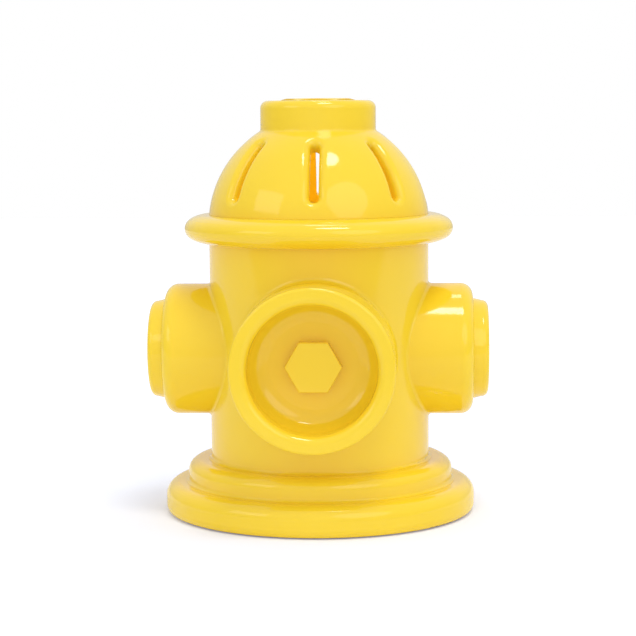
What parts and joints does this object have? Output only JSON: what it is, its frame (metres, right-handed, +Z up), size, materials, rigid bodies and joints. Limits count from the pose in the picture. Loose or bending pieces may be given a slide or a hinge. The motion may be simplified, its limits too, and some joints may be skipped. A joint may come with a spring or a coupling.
{
  "type": "toy fire hydrant",
  "caption": "Hollow toy fire hydrant in glossy yellow plastic: stepped round foot, barrel with side ports and an open front cup, slotted dome bonnet that unscrews.",
  "frame": {"origin": "on the barrel's axis, in the plane the toy stands on", "axes": "+Z up along the barrel, -Y towards the front cup, X along the two side ports"},
  "size_m": [0.1028, 0.0986, 0.1256],
  "materials": {
    "yellow_body": "glossy moulded",
    "yellow_bonnet": "glossy moulded",
    "pad_rubber": "matt moulded",
    "seal_silicone": "satin",
    "screw_steel": "zinc plated"
  },
  "bodies": {
    "barrel": {"foot_pad": "pad_rubber", "floor_plate": "yellow_body", "floor_screws": "screw_steel", "foot_ring": "yellow_body", "step_ring": "yellow_body", "barrel_shell": "yellow_body", "left_port_cap": "yellow_body", "right_port_cap": "yellow_body", "front_cup": "yellow_body", "cup_hex_bolt": "yellow_body"},
    "seal": {"bonnet_seal": "seal_silicone"},
    "bonnet": {"bonnet_flange": "yellow_bonnet", "bonnet_dome": "yellow_bonnet", "top_knob": "yellow_bonnet", "top_hex_bolt": "yellow_bonnet"}
  },
  "joints": [
    {"name": "bonnet_rise", "type": "slide", "parent": "barrel", "child": "seal", "axis": [0, 0, 1], "range_m": [0, 0.0361]},
    {"name": "bonnet_turn", "type": "hinge", "parent": "seal", "child": "bonnet", "pos_m": [0, 0, 0.0822], "axis": [0, 0, 1], "range_deg": [0, 720]}
  ],
  "couplings": [
    {"joint": "bonnet_rise", "follows": "bonnet_turn", "m_per_rad": 0.0028648}
  ]
}
